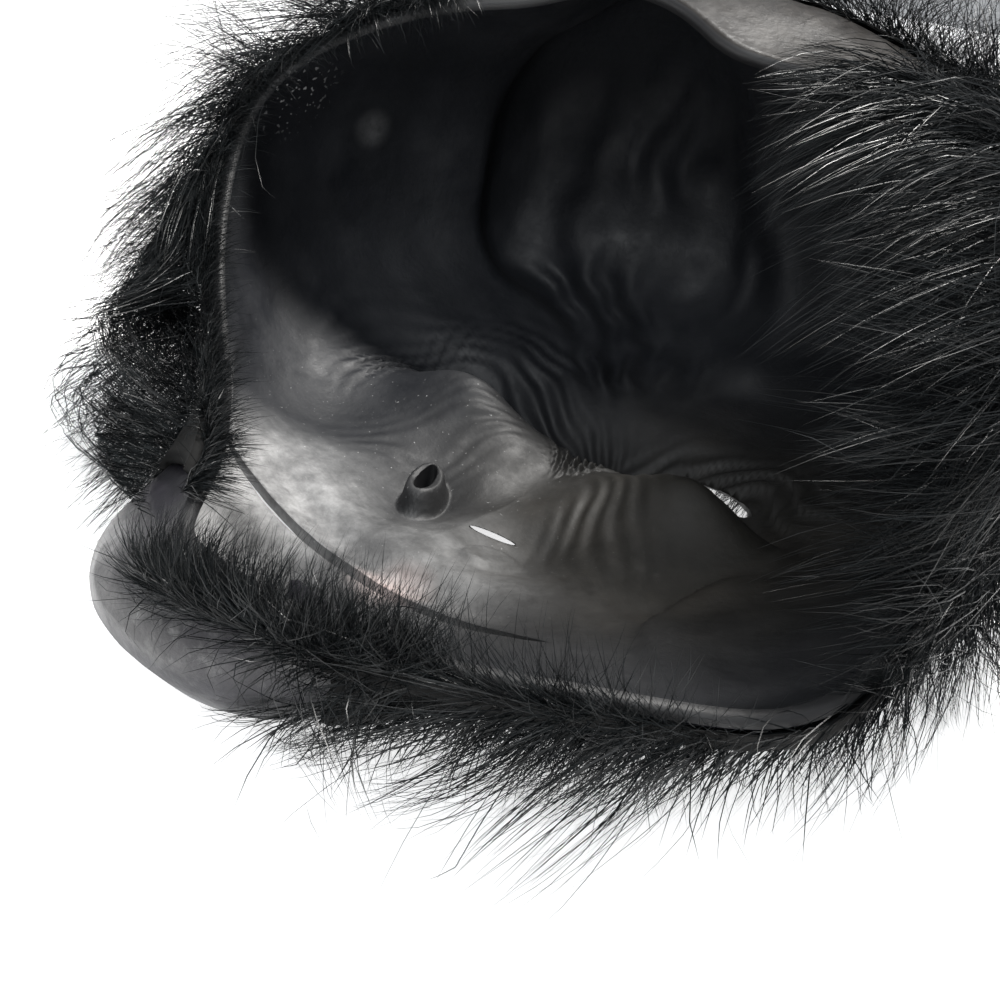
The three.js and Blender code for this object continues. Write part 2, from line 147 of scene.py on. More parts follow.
# dark fabric backing under the hair
BACKING = Named(columns=120, rows=30, short_near=5, short_far=6, low=0.9, high=3.2, thin=0.15)
# how far the backing, the hair's paths and the strands' edges stay above the surface
BACKING_ABOVE = 0.6
PATHS_ABOVE = 1.0
STRANDS_ABOVE = 0.3
# how far hair may stand outside the CAD's box, and strands' edges over that
PROUD = np.array([13.0, 13.0, 9.5])
OVER_BOX = 2

# hair of each kind: how many strands, how high their roots are over the skin, and the
# ranges that their random sizes are drawn from; sway and wobble bend hair with its lock,
# pull draws it to the lock, and reach is the part it uses of the reach past the edge
LONG_STEPS = 6
SHORT_STEPS = 3
FRINGE_STEPS = 4
TUFT = Named(count=300, root=1.5, swirl=0.34, sway=0.8, uneven=0.13, lift=(0.2, 0.6), droop=(0.1, 0.5))
LOCK = Named(count=1800, root=1.4, keep_swirl=0.8, swirl=0.3, sway=0.8,
             length=(0.75, 1.1), lift=(0.6, 1.3), pull=(0.35, 0.75), spread=0.45)
TOP = Named(count=43000, root=1.2, clear=1.2, sway=0.7, wobble=0.8, jitter=0.25,
            length=(0.6, 1.1), lift=(0.6, 1.3), pull=(0.5, 0.95), spread=0.75, curl=1.9, reach=(0.5, 1.25))
STRAY = Named(part=0.08, length=1.15, pull=0.1)
UNDER = Named(count=28000, root=1.2, clear=0.8, sway=0.5, jitter=0.35, wobble=0.4,
              length=(11, 22), lift=(0.3, 0.8), droop=0.3, reach=(0.3, 0.9))
FRINGE = Named(count=18000, root=0.9, before=15, band=0.025, length=10, chin_length=5,
               uneven=(0.5, 1.15), stretch=1.3, lean=(0.4, 0.9), far_lean=0.4)
FRINGE_PART = Named(all=0.45, chin=0.55, far=0.2, whole_rim=0.97)
RIM_SHOWN = Named(phi=-33, half_phi=10, part=1.5)
MANE = Named(count=9000, locks=170, root=1.2, band=0.14, lock_band=0.12,
             size=(0.5, 1.1), lock_size=(0.8, 1.1), pull=(0.5, 0.92), spread=0.75, curl=1.2)
LOOSE = Named(part=0.1, pull=0.1)
# length of the hair, and where it differs: by how much, heading and width of that part
HAIR_LENGTH = 37
LENGTH_CHANGES = [(14, 165, 40), (8, -155, 30), (5, -18, 24), (-12, -80, 16)]
# how far past the opening edge hair may reach, in degrees, and where less
REACH = Named(full=6.0, less=4.5, phi=-37, half_phi=13)
# a strand's width at each of its points, as a part of its full width
TAPER = {LONG_STEPS: [0.8, 1.0, 1.0, 0.9, 0.75, 0.5, 0.0], SHORT_STEPS: [1.0, 0.95, 0.7, 0.0],
         FRINGE_STEPS: [0.9, 1.0, 0.85, 0.55, 0.0]}
THICK = 1.0
# the way the hair lies round the head, by heading from the near side
FLOW_PHI = np.array([-180, -145, -105, -75, -40, 0, 45, 90, 120, 150, 180.0])
FLOW = np.array([(-0.70, -0.65, -0.15), (-0.50, -0.75, -0.40), (-0.75, -0.50, -0.25),
                 (-0.65, -0.60, -0.35), (-0.55, -0.68, -0.48), (-0.40, -0.85, -0.35),
                 (-0.30, -0.95, -0.20), (-0.60, -0.70, -0.05), (-0.80, -0.50, 0.05),
                 (-0.85, -0.48, 0.02), (-0.70, -0.65, -0.15)])
# long hair of the near side that hangs over the opening: heading, way it hangs, length
MANE_PHI = np.array([-28, -20, -10, 10, 30, 48.0])
MANE_WAY = np.array([(-0.60, -0.75, 0.10), (-0.55, -0.80, -0.10), (-0.36, -0.84, -0.38),
                     (-0.32, -0.75, -0.56), (-0.32, -0.68, -0.64), (-0.40, -0.70, -0.50)])
MANE_LENGTH = np.array([16, 40, 58, 60, 52, 24.0])


def bell(v, width):
    return np.exp(-((v / width) ** 2))


def plateau(v, width, power=3):
    return np.exp(-(np.abs(v / width) ** power))


def step(v, start, end):
    s = np.clip((v - start) / (end - start), 0, 1)
    return s * s * (3 - 2 * s)


def wrap(phi):
    return np.mod(phi + 180, 360) - 180


# 1 at a heading, less to both sides of it
def facing(phi, heading, width):
    return bell(wrap(phi - heading), width)


def unit(v):
    return v / np.maximum(np.linalg.norm(v, axis=-1), 1e-9)[..., None]


def to_m(p):
    return (p - MIDDLE) * 0.001


def direction(phi, down):
    turn = np.radians(phi)
    tilt = np.radians(down)
    return np.stack([np.sin(tilt) * np.cos(turn), np.sin(tilt) * np.sin(turn), -np.cos(tilt)], -1)


# heading and angle from straight down of a place seen from the head's centre
def angles(q):
    phi = np.degrees(np.arctan2(q[..., 1], q[..., 0]))
    down = np.degrees(np.arctan2(np.hypot(q[..., 0], q[..., 1]), -q[..., 2]))
    return phi, down


RIM_PHI, RIM_DOWN = angles(RIM - CENTRE)


def rim_angle(phi):
    total = 0
    for k in range(-4, 5):
        turned = np.mod(phi + k * RIM_BLEND / 4 + 90, 360)
        turned = np.where(turned > 180, 360 - turned, turned) - 90
        total = total + np.interp(turned, RIM_PHI, RIM_DOWN)
    return total / 9


# sum of powers that is 1 on the head form, less inside it and more outside
def boxy_sum(q):
    sizes = (HALF_WIDTH, HALF_LENGTH, np.where(q[..., 2] < 0, DEPTH_TO_FACE, DEPTH_TO_BACK))
    return sum(np.abs(q[..., i] / sizes[i]) ** BOXINESS for i in range(3))


def head_form(phi, down):
    way = direction(phi, down)
    return CENTRE + way * (boxy_sum(way) ** (-1 / BOXINESS))[..., None]


# smooth random fields, each from a few seeded plane waves
FIELDS = 6
WAVES_IN_FIELD = 14
FULL_TURN = 6.28
wave_rng = np.random.default_rng(3)
WAVES = [(wave_rng.normal(size=(WAVES_IN_FIELD, 3)), wave_rng.uniform(0, FULL_TURN, WAVES_IN_FIELD))
         for _ in range(FIELDS)]
GRAIN_SCALE = 2.2
FIELD_HEIGHT = 5.3


# one of the fields, mostly within its height up and down, with bumps about as wide as the grain
def bumps(p, height, grain, which):
    ways, phases = WAVES[which]
    total = 0
    for way, phase in zip(ways, phases):
        total = total + np.sin((p @ way) * (GRAIN_SCALE / grain) + phase)
    return height * (total / FIELD_HEIGHT)


def patchiness(p, size):
    return np.clip(size.middle + bumps(p, *size.waver), size.least, size.most)


def mouth_line(x):
    return MOUTH.y + MOUTH.rise * x * x


# how far the face stands out of the head form
def face_relief(x, y):
    ax = np.abs(x)
    from_brow = y - (BROW.y - BROW.bend * x * x)
    from_lip = np.abs(y - mouth_line(x)) - LIP.from_mouth
    return sum([
        MUZZLE.out * plateau(x, MUZZLE.half_x) * plateau(y - MUZZLE.y, MUZZLE.half_y),
        NOSE_WING.out * bell(ax - NOSE_WING.x, NOSE_WING.r) * bell(y - NOSE_WING.y, NOSE_WING.r),
        NOSE_BRIDGE.out * bell(x, NOSE_BRIDGE.half_x) * bell(y - NOSE_BRIDGE.y, NOSE_BRIDGE.half_y),
        BROW.out * bell(from_brow, BROW.half_y) * plateau(x, BROW.half_x),
        -SOCKET.deep * bell(ax - SOCKET.x, SOCKET.half_x) * bell(y - SOCKET.y, SOCKET.half_y),
        CHEEK.out * bell(ax - CHEEK.x, CHEEK.r) * bell(y - CHEEK.y, CHEEK.r),
        LIP.out * bell(from_lip, LIP.half_y) * plateau(x, LIP.half_x, 4),
    ])


# wrinkle rope: arcs over an eye that draw together above the nose
def brow_rope(p, side, strength, low, patchy):
    across = (p[..., 0] - side * ROPE.x) * -side
    up = p[..., 1] - ROPE.y
    turn = np.degrees(np.arctan2(up, across))
    turn = np.where(turn < ROPE_SPREAD.seam, turn + 360, turn)
    spread = np.where(turn < ROPE_SPREAD.widest,
                      ROPE_SPREAD.tight + ROPE_SPREAD.opens * step(turn, *ROPE_SPREAD.opening),
                      1.0 - ROPE_SPREAD.closes * step(turn, *ROPE_SPREAD.closing))
    away = (np.hypot(across, up) - ROPE.start) / spread
    away = away + bumps(p, *ROPE.drift) + bumps(p, *ROPE.waver)
    wave = np.sin(2 * math.pi * away / ROPE.pitch)
    shown = (step(away, *ROPE_SHOWN.rows_in) * (1 - step(away, *ROPE_SHOWN.rows_out))
             * step(turn, *ROPE_SHOWN.arc_in) * (1 - step(turn, *ROPE_SHOWN.arc_out)))
    deep = ROPE.deep + ROPE.crest * bell(turn - ROPE_CREST.turn, ROPE_CREST.half_turn)
    return strength * deep * wave * shown * low * patchy


# long folds that run up the crown from between the brows
def crown_folds(p):
    across = p[..., 0] - CROWN_FOLD.x
    up = p[..., 1] - CROWN_FOLD.y
    away = np.hypot(across, up)
    turn = np.degrees(np.arctan2(up, across)) - CROWN_FOLD.swirl * (away - CROWN_FOLD.swirl_from)
    turn = turn + bumps(p, *CROWN_FOLD.drift) + bumps(p, *CROWN_FOLD.waver)
    wave = np.sin(2 * math.pi * turn / CROWN_FOLD.pitch_deg)
    shown = (step(turn, *CROWN_SHOWN.arc_in) * (1 - step(turn, *CROWN_SHOWN.arc_out))
             * step(away, *CROWN_SHOWN.away) * (1 - step(p[..., 2], *CROWN_SHOWN.z)))
    return CROWN_FOLD.deep * wave * shown * patchiness(p, CROWN_PATCHES)


# upright folds beside the nose
def nose_folds(p, side, strength, low, patchy):
    out = side * p[..., 0] - NOSE_FOLD.x
    up = p[..., 1] - NOSE_FOLD.y
    u = out * NOSE_FOLD.across + up * NOSE_FOLD.up
    v = -out * NOSE_FOLD.up + up * NOSE_FOLD.across
    wave = np.sin(2 * math.pi * (u + bumps(p, *NOSE_FOLD.waver)) / NOSE_FOLD.pitch)
    shown = (bell(u - NOSE_SHOWN.across, NOSE_SHOWN.half_across)
             * bell(v - NOSE_SHOWN.up, NOSE_SHOWN.half_up) * low * step(side * p[..., 0], *NOSE_SHOWN.x))
    return NOSE_FOLD.deep * strength * wave * shown * patchy


# crisp edge of the flared panel beside the near cheek
def panel_edge(p, low):
    y = p[..., 1]
    edge = p[..., 0] - (PANEL.x + PANEL.bend * (y - PANEL.y) ** 2)
    shown = (1 - step(edge, *PANEL.run)) * step(y, *PANEL.y_in) * (1 - step(y, *PANEL.y_out)) * low
    return PANEL.deep * step(edge, *PANEL.crisp) * shown


# fine folds pressed into the latex, positive into the hollow
def folds(p):
    low = 1 - step(p[..., 2], *WRINKLE_FADE)
    patchy = patchiness(p, ROPE_PATCHES)
    parts = [brow_rope(p, -1, 1.0, low, patchy), brow_rope(p, 1, 0.8, low, patchy), crown_folds(p),
             nose_folds(p, 1, 1.0, low, patchy), nose_folds(p, -1, 0.6, low, patchy), panel_edge(p, low)]
    return sum(parts + [bumps(p, *dent) for dent in DENTS])


# the far side is squeezed in towards the chin
def squeezed(x, y, z):
    part = SQUEEZE.part * (1 - step(y, *SQUEEZE.y)) * step(z, *SQUEEZE.z)
    return np.where(x < 0, x * (1 - part), x) + SQUEEZE.near * part * step(-x, *SQUEEZE.near_x)


def nape_sag(phi, t, x):
    return (NAPE.dip + NAPE.tilt * x) * facing(phi, NAPE.phi, NAPE.half_phi) * step(t, *NAPE.t)


def chin_bulge(form, low):
    return plateau(form[..., 0], CHIN.half_x) * bell(form[..., 1] - CHIN.y, CHIN.half_y) * low


def occiput_lift(form):
    middle = bell(form[..., 0], OCCIPUT.half_x) * bell(form[..., 1] - OCCIPUT.y, OCCIPUT.half_y)
    return OCCIPUT.up * middle * step(form[..., 2], *BACK_FADE)


def side_slump(form):
    past = form[..., 1] - (SLUMP.y + bumps(form, *SLUMP.waver))
    fold = np.where(past < 0, 1 - step(-past, *SLUMP.run), 1 - step(past, *SLUMP.drop))
    return SLUMP.deep * fold * step(-form[..., 0], *SLUMP.x)


def crown_groove(form):
    x = GROOVE.x_low + (GROOVE.x_high - GROOVE.x_low) * step(form[..., 2], *GROOVE.z)
    return GROOVE.deep * bell(form[..., 0] - x - GROOVE.lobe, GROOVE.half) * step(form[..., 1], *GROOVE.y)


# the skin's side towards the wearer, wrinkles and all
def inner(phi, t):
    phi = np.asarray(phi, float)
    t = np.asarray(t, float)
    form = head_form(phi, rim_angle(phi) * t)
    x, y, z = form[..., 0], form[..., 1], form[..., 2]
    low = 1 - step(z, *FACE_FADE)
    chin = chin_bulge(form, low)
    z = z - face_relief(x, y) * low
    z = z - CHIN.down * chin * (1 - step(t, *CHIN.down_t))
    z = z + occiput_lift(form)
    y = y - CHIN.forward * chin * (CHIN.rim + CHIN.body * (1 - step(t, *CHIN.forward_t)))
    from_centre = form - CENTRE
    push = -(crown_groove(form) + side_slump(form))
    push = push - folds(form) * (1 - RIM_CALM.part * step(t, *RIM_CALM.t))
    push = push / np.linalg.norm(from_centre, axis=-1)
    x = x + from_centre[..., 0] * push
    y = y + from_centre[..., 1] * push
    z = z + from_centre[..., 2] * push
    z = z - nape_sag(phi, t, x)
    x = squeezed(x, y, z)
    flare = FLARE.out * bell(phi - FLARE.phi, FLARE.half_phi) * step(t, *FLARE.t)
    return np.stack([x + flare, y - FLARE.rise * flare, z], -1)


# the same head without its face and wrinkles, which the coat follows
def smooth_form(phi, t):
    form = head_form(np.asarray(phi, float), rim_angle(phi) * t)
    x, y, z = form[..., 0], form[..., 1], form[..., 2]
    chin = chin_bulge(form, 1 - step(z, *FACE_FADE))
    z = z + occiput_lift(form) - nape_sag(phi, t, x)
    return np.stack([squeezed(x, y, z), y - SMOOTH_CHIN_FORWARD * chin, z], -1)


# half the distances over which a form's slope is taken, in phi near the rim and in t
NORMAL_PHI = 0.6
NORMAL_T = 0.007


def normal(phi, t, form):
    t = np.maximum(t, 0.02)
    d_phi = NORMAL_PHI / np.maximum(0.15, t)
    d_t = NORMAL_T
    round_head = form(wrap(phi + d_phi), t) - form(wrap(phi - d_phi), t)
    to_rim = form(phi, t + d_t) - form(phi, t - d_t)
    n = np.cross(round_head, to_rim)
    n = n * np.sign((n * (form(phi, t) - CENTRE)).sum(-1))[..., None]
    return unit(n)


def make_mesh(name, points, faces):
    mesh = bpy.data.meshes.new(name)
    points = np.ascontiguousarray(points, dtype=np.float32)
    faces = np.ascontiguousarray(faces, dtype=np.int32)
    mesh.vertices.add(len(points))
    mesh.vertices.foreach_set("co", points.ravel())
    mesh.loops.add(faces.size)
    mesh.loops.foreach_set("vertex_index", faces.ravel())
    mesh.polygons.add(len(faces))
    mesh.polygons.foreach_set("loop_start", np.arange(0, faces.size, faces.shape[1], dtype=np.int32))
    mesh.polygons.foreach_set("use_smooth", np.full(len(faces), True))
    mesh.update(calc_edges=True)
    mesh.validate()
    return add_object(name, mesh)


def add_object(name, data):
    made = bpy.data.objects.new(name, data)
    bpy.context.scene.collection.objects.link(made)
    return made


# quads between the rows of a grid of points, whose columns may close into a ring
def grid_faces(columns, rows, start, closed, flip):
    i, k = np.meshgrid(np.arange(columns if closed else columns - 1), np.arange(rows - 1), indexing="ij")
    j = (i + 1) % columns
    a = start + i + k * columns
    b = start + j + k * columns
    c = start + j + (k + 1) * columns
    d = start + i + (k + 1) * columns
    return np.stack([a, b, c, d] if flip else [a, d, c, b], -1).reshape(-1, 4)


def halves(quads):
    return np.concatenate([quads[:, [0, 1, 2]], quads[:, [0, 2, 3]]])


# material nodes, and what sets and joins them
def node_material(name):
    material = bpy.data.materials.new(name)
    material.use_nodes = True
    return material, material.node_tree, material.node_tree.nodes["Principled BSDF"]


def set_inputs(node, values):
    for name, value in values.items():
        node.inputs[name].default_value = value


def object_coords(tree):
    node = tree.nodes.get("coords") or tree.nodes.new("ShaderNodeTexCoord")
    node.name = "coords"
    return node.outputs["Object"]


def noise(tree, scale, detail, rough):
    node = tree.nodes.new("ShaderNodeTexNoise")
    set_inputs(node, {"Scale": scale, "Detail": detail, "Roughness": rough})
    tree.links.new(object_coords(tree), node.inputs["Vector"])
    return node.outputs["Fac"]


def ramp(tree, amount, stops):
    node = tree.nodes.new("ShaderNodeValToRGB")
    elements = node.color_ramp.elements
    while len(elements) < len(stops):
        elements.new(0.5)
    for element, (place, colour) in zip(elements, stops):
        element.position = place
        element.color = (*colour, 1)
    tree.links.new(amount, node.inputs["Fac"])
    return node.outputs["Color"]


def mottled(tree, scale, detail, rough, stops):
    return ramp(tree, noise(tree, scale, detail, rough), stops)


def mix(tree, amount, a, b):
    node = tree.nodes.new("ShaderNodeMix")
    node.data_type = "RGBA"
    colours = [socket for socket in node.inputs if socket.type == "RGBA"]
    tree.links.new(amount, node.inputs[0])
    tree.links.new(a, colours[0])
    tree.links.new(b, colours[1])
    return next(socket for socket in node.outputs if socket.type == "RGBA")


def maths(tree, operation, a, b):
    node = tree.nodes.new("ShaderNodeMath")
    node.operation = operation
    node.use_clamp = operation == "MULTIPLY"
    for socket, value in zip(node.inputs, (a, b)):
        if isinstance(value, (int, float)):
            socket.default_value = value
        else:
            tree.links.new(value, socket)
    return node.outputs[0]


def product(tree, total, *factors):
    for factor in factors:
        total = maths(tree, "MULTIPLY", total, factor)
    return total


# soft round zone about a place on the skin, 1 near its middle and 0 from its radius on
def zone(tree, place, radius):
    distance = tree.nodes.new("ShaderNodeVectorMath")
    distance.operation = "DISTANCE"
    tree.links.new(object_coords(tree), distance.inputs[0])
    distance.inputs[1].default_value = tuple(to_m(np.array(place, float)))
    fade = tree.nodes.new("ShaderNodeMapRange")
    fade.interpolation_type = "SMOOTHSTEP"
    set_inputs(fade, {"From Min": radius * 0.001, "From Max": radius * 0.00015})
    tree.links.new(distance.outputs["Value"], fade.inputs["Value"])
    return fade.outputs["Result"]


def grey(v):
    return (v, v, v)


# colours along a noise, from its dark to its light end
COOL_LATEX = [(0.3, (0.005, 0.006, 0.008)), (0.55, (0.011, 0.012, 0.015)), (0.75, (0.024, 0.025, 0.028))]
WARM_LATEX = [(0.3, (0.005, 0.0045, 0.004)), (0.55, (0.012, 0.011, 0.009)), (0.75, (0.026, 0.023, 0.019))]
OUTER_LATEX = [(0.3, (0.005, 0.005, 0.007)), (0.55, (0.012, 0.011, 0.015)), (0.75, (0.026, 0.025, 0.030))]
CROWN_BROWN = [(0.3, (0.006, 0.005, 0.0045)), (0.7, (0.026, 0.023, 0.020))]
# pale grey of dust, specks, droplets and the smear, also used as a painted pool of light on the cheek, jaw
# and muzzle
DUST_AND_LIGHT_GREY = [(0.3, grey(0.22)), (0.7, grey(0.52))]
SCUFFED = [(0.3, grey(0.03)), (0.7, grey(0.11))]
LIP_PINK = [(0.3, (0.40, 0.30, 0.28)), (0.7, (0.6, 0.52, 0.5))]
EDGE_BLACK = (0.010, 0.010, 0.011, 1)
HAIR_DARK = (0.002, 0.0025, 0.003)
HAIR_LIGHT = (0.010, 0.012, 0.013)
FABRIC_DARK = grey(0.003)
FABRIC_LIGHT = grey(0.007)
# places on the skin that look different: middle and radius
WARM_SIDE = ((45, 30, 0), 110)
# the cheek, jaw and muzzle zones hold dust together with a painted pool of light on the lit muzzle wall
CHEEK_DUST_AND_LIGHT = ((-34, -34, 4), 40)
JAW_DUST_AND_LIGHT = ((-22, -56, 8), 34)
MUZZLE_DUST_AND_LIGHT = ((6, -24, 0), 38)
SPECKLED = ((-30, -10, 4), 90)
DROPLETS = ((-99, 24, 76), 17)
SMEAR = ((-103, 55, 65), 8)
STAINED_LIP = ((8, -33, 0), 12)
BROWN_CROWN = ((10, 90, 125), 110)


# what the skin's materials share: body colour, patchy gloss between two roughnesses, fine bump
def finish_skin(tree, shader, body, low, high):
    set_inputs(shader, {"Specular IOR Level": 0.4})
    tree.links.new(body, shader.inputs["Base Color"])
    rough = mottled(tree, 75, 8, 0.7, [(0.3, grey(low)), (0.7, grey(high))])
    tree.links.new(rough, shader.inputs["Roughness"])
    bump = tree.nodes.new("ShaderNodeBump")
    set_inputs(bump, {"Strength": 0.3, "Distance": 0.0006})
    tree.links.new(noise(tree, 420, 6, 0.6), bump.inputs["Height"])
    tree.links.new(bump.outputs["Normal"], shader.inputs["Normal"])


# dust and a painted pool of light on the cheek, jaw and muzzle, specks, droplets, a smear and the stained
# lip
def dust_and_painted_light(tree, body):
    dust_and_light = mottled(tree, 210, 8, 0.7, DUST_AND_LIGHT_GREY)
    blotches = mottled(tree, 85, 12, 0.72, [(0.30, grey(0.25)), (0.72, grey(1))])
    # dust with a painted pool of light, strongest on the cheek and jaw, weaker on the muzzle
    amount = maths(tree, "MAXIMUM", zone(tree, *CHEEK_DUST_AND_LIGHT), zone(tree, *JAW_DUST_AND_LIGHT))
    amount = maths(tree, "MAXIMUM", amount, product(tree, zone(tree, *MUZZLE_DUST_AND_LIGHT), 0.4))
    body = mix(tree, product(tree, amount, blotches, 0.9), body, dust_and_light)
    specks = mottled(tree, 1100, 2, 0.5, [(0.71, grey(0)), (0.76, grey(0.5))])
    body = mix(tree, product(tree, specks, zone(tree, *SPECKLED)), body, dust_and_light)
    drops = mottled(tree, 700, 1, 0.4, [(0.66, grey(0)), (0.70, grey(1))])
    body = mix(tree, product(tree, zone(tree, *DROPLETS), drops), body, dust_and_light)
    body = mix(tree, product(tree, zone(tree, *SMEAR), blotches, 0.4), body, dust_and_light)
    pink = mottled(tree, 300, 4, 0.6, LIP_PINK)
    return mix(tree, product(tree, zone(tree, *STAINED_LIP), blotches), body, pink)


def latex_inside():
    material, tree, shader = node_material("latex_inside")
    cool = mottled(tree, 26, 8, 0.65, COOL_LATEX)
    warm = mottled(tree, 24, 8, 0.65, WARM_LATEX)
    body = dust_and_painted_light(tree, mix(tree, zone(tree, *WARM_SIDE), cool, warm))
    finish_skin(tree, shader, body, 0.46, 0.78)
    return material


def latex_outside():
    material, tree, shader = node_material("latex_outside")
    body = mottled(tree, 40, 8, 0.65, OUTER_LATEX)
    scuff = mottled(tree, 120, 10, 0.75, [(0.5, grey(0)), (0.62, grey(0.7))])
    patches = mottled(tree, 22, 4, 0.6, [(0.45, grey(0)), (0.6, grey(1))])
    scuffed = mottled(tree, 260, 4, 0.6, SCUFFED)
    body = mix(tree, product(tree, scuff, patches), body, scuffed)
    brown = mottled(tree, 160, 8, 0.7, CROWN_BROWN)
    body = mix(tree, zone(tree, *BROWN_CROWN), body, brown)
    finish_skin(tree, shader, body, 0.26, 0.55)
    return material


def latex_edge():
    material, _, shader = node_material("latex_edge")
    set_inputs(shader, {"Base Color": EDGE_BLACK, "Roughness": 0.55})
    return material


def fur_material(name, dark, light, roughness):
    material, tree, shader = node_material(name)
    colour = mottled(tree, 160, 4, 0.6, [(0.35, dark), (0.72, light)])
    tree.links.new(colour, shader.inputs["Base Color"])
    set_inputs(shader, {"Roughness": roughness, "Specular IOR Level": 0.2})
    return material


# latex skin, carved finely, in place of the plain one
COLUMNS = 330
ROWS_INSIDE = 120
ROWS_OUTSIDE = 70


def nostril_tubes(p):
    total = np.zeros(p.shape[:-1])
    for tube in NOSTRILS:
        c = math.cos(tube.side * -NOSTRIL_TUBE.tilt)
        s = math.sin(tube.side * -NOSTRIL_TUBE.tilt)
        dx = p[..., 0] - tube.x
        dy = p[..., 1] - tube.y
        u = dx * c + dy * s
        v = -dx * s + dy * c
        away = np.hypot(u / NOSTRIL_TUBE.half_x, v / NOSTRIL_TUBE.half_y)
        total = total + tube.high * (1 - step(away, *NOSTRIL_TUBE.edge))
    return total * (1 - step(p[..., 2], *NOSTRIL_TUBE.z))


# one side of the skin: its pole, then its rows from there to the opening edge
def skin_sheet(rows, distance, with_tubes):
    t = (np.arange(1, rows + 1) / rows)[:, None] * np.ones(COLUMNS)[None]
    phi = np.broadcast_to(wrap(np.arange(COLUMNS) * 360 / COLUMNS)[None], t.shape)
    points = inner(phi, t)
    if with_tubes:
        points[..., 2] += nostril_tubes(points)
    points = points + normal(phi, t, inner) * distance
    pole = inner(np.array([0.0]), np.array([1e-4]))
    pole[..., 2] -= distance
    return np.concatenate([pole, points.reshape(-1, 3)])


# numbers of the points in one row of a sheet
def sheet_row(pole, row):
    return pole + 1 + row * COLUMNS + np.arange(COLUMNS)


def latex_skin():
    inside = skin_sheet(ROWS_INSIDE, 0.0, True)
    outside = skin_sheet(ROWS_OUTSIDE, WALL, False)
    start = len(inside)
    rim_in = sheet_row(0, ROWS_INSIDE - 1)
    rim_out = sheet_row(start, ROWS_OUTSIDE - 1)
    quads = [grid_faces(COLUMNS, ROWS_INSIDE, 1, True, False),
             grid_faces(COLUMNS, ROWS_OUTSIDE, start + 1, True, True),
             np.stack([rim_in, rim_out, np.roll(rim_out, -1), np.roll(rim_in, -1)], -1)]
    first_in = sheet_row(0, 0)
    first_out = sheet_row(start, 0)
    cap_in = np.stack([np.zeros(COLUMNS, int), first_in, np.roll(first_in, -1)], -1)
    cap_out = np.stack([np.full(COLUMNS, start), np.roll(first_out, -1), first_out], -1)
    faces = np.concatenate([halves(np.concatenate(quads)), cap_in, cap_out])
    skin = make_mesh("latex_skin", to_m(np.concatenate([inside, outside])), faces)
    for material in (latex_inside(), latex_outside(), latex_edge()):
        skin.data.materials.append(material)
    kinds = [np.full(len(part), kind) for kind, part in enumerate(quads)]
    kinds = np.concatenate(kinds + kinds + [np.full(COLUMNS, 0), np.full(COLUMNS, 1)])
    skin.data.polygons.foreach_set("material_index", kinds.astype(np.int32))
    return skin


# a prism through the skin, upright, or leaning about a level
def cutter(name, outline, low=CUT_LOW, high=CUT_HIGH, lean=(0.0, 0.0), level=0.0):
    n = len(outline)
    ends = [np.c_[outline + np.array(lean) * (z - level), np.full(n, z)] for z in (low, high)]
    points = [tuple(q) for q in to_m(np.concatenate(ends))]
    sides = [(i, (i + 1) % n, n + (i + 1) % n, n + i) for i in range(n)]
    mesh = bpy.data.meshes.new(name)
    mesh.from_pydata(points, [], [tuple(range(n))[::-1], tuple(range(n, 2 * n))] + sides)
    return add_object(name, mesh)


# an oval, whose ends are drawn out where its point is more than 1
def oval(size, count=40):
    a = np.arange(count) / count * 2 * math.pi
    u = size.half_x * np.cos(a)
    v = size.half_y * np.sign(np.sin(a)) * np.abs(np.sin(a)) ** size.point
    c = math.cos(size.tilt)
    s = math.sin(size.tilt)
    return np.c_[size.x + u * c - v * s, size.y + u * s + v * c]


def mouth_outline():
    x = np.linspace(-MOUTH.half_x, MOUTH.half_x, 41)
    half = MOUTH.gap * np.sqrt(np.maximum(0, 1 - (x / MOUTH.half_x) ** 2))
    lower = np.c_[x, mouth_line(x) - half]
    upper = np.c_[x, mouth_line(x) + half]
    return np.concatenate([lower, upper[1:-1][::-1]])


# mouth, eyes and nostrils; the right eye and nostril open along the photo's line of sight
def cut_openings(skin):
    cuts = [cutter("cut_mouth", mouth_outline()),
            cutter("cut_eye", oval(LEFT_EYE)),
            cutter("cut_eye", oval(RIGHT_EYE), low=-13, high=14, lean=SIGHT_LEAN, level=9),
            cutter("cut_nostril", oval(LEFT_NOSTRIL)),
            cutter("cut_nostril", oval(RIGHT_NOSTRIL), low=-14, high=9, lean=SIGHT_LEAN, level=-1.8)]
    bpy.context.view_layer.objects.active = skin
    for cut in cuts:
        boolean = skin.modifiers.new(cut.name, "BOOLEAN")
        boolean.operation = "DIFFERENCE"
        boolean.solver = "MANIFOLD"
        boolean.object = cut
    graph = bpy.context.evaluated_depsgraph_get()
    done = bpy.data.meshes.new_from_object(skin.evaluated_get(graph))
    skin.modifiers.clear()
    skin.data = done
    for cut in cuts:
        bpy.data.objects.remove(cut)


mask = latex_skin()
cut_openings(mask)
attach(mask, "root")
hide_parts("latex_mask")


# t at which the coat starts on the face side, found by halving
def coat_start(phi):
    turn = np.abs(wrap(phi - 90))
    radius = (COAT_INSIDE.radius + COAT_INSIDE.side * step(turn, *COAT_INSIDE.side_phi)
              + COAT_INSIDE.chin * step(turn, *COAT_INSIDE.chin_phi))
    low = np.full(phi.shape, 0.1)
    high = np.full(phi.shape, 0.94)
    for _ in range(26):
        middle = (low + high) / 2
        form = head_form(phi, rim_angle(phi) * middle)
        inside = np.hypot(form[..., 0], form[..., 1] - CENTRE[1]) < radius
        low = np.where(inside, middle, low)
        high = np.where(inside, high, middle)
    return low


# t at which the coat ends: at the opening edge, and short of it at the nape
def coat_end(phi):
    from_nape = np.abs(wrap(phi - 90))
    blend = np.where(np.cos(np.radians(phi)) > 0, NAPE_BLEND_NEAR, NAPE_BLEND_FAR)
    return NAPE_BAND + (1 - NAPE_BAND) * step((from_nape - NAPE_BARE) / blend, 0, 1)


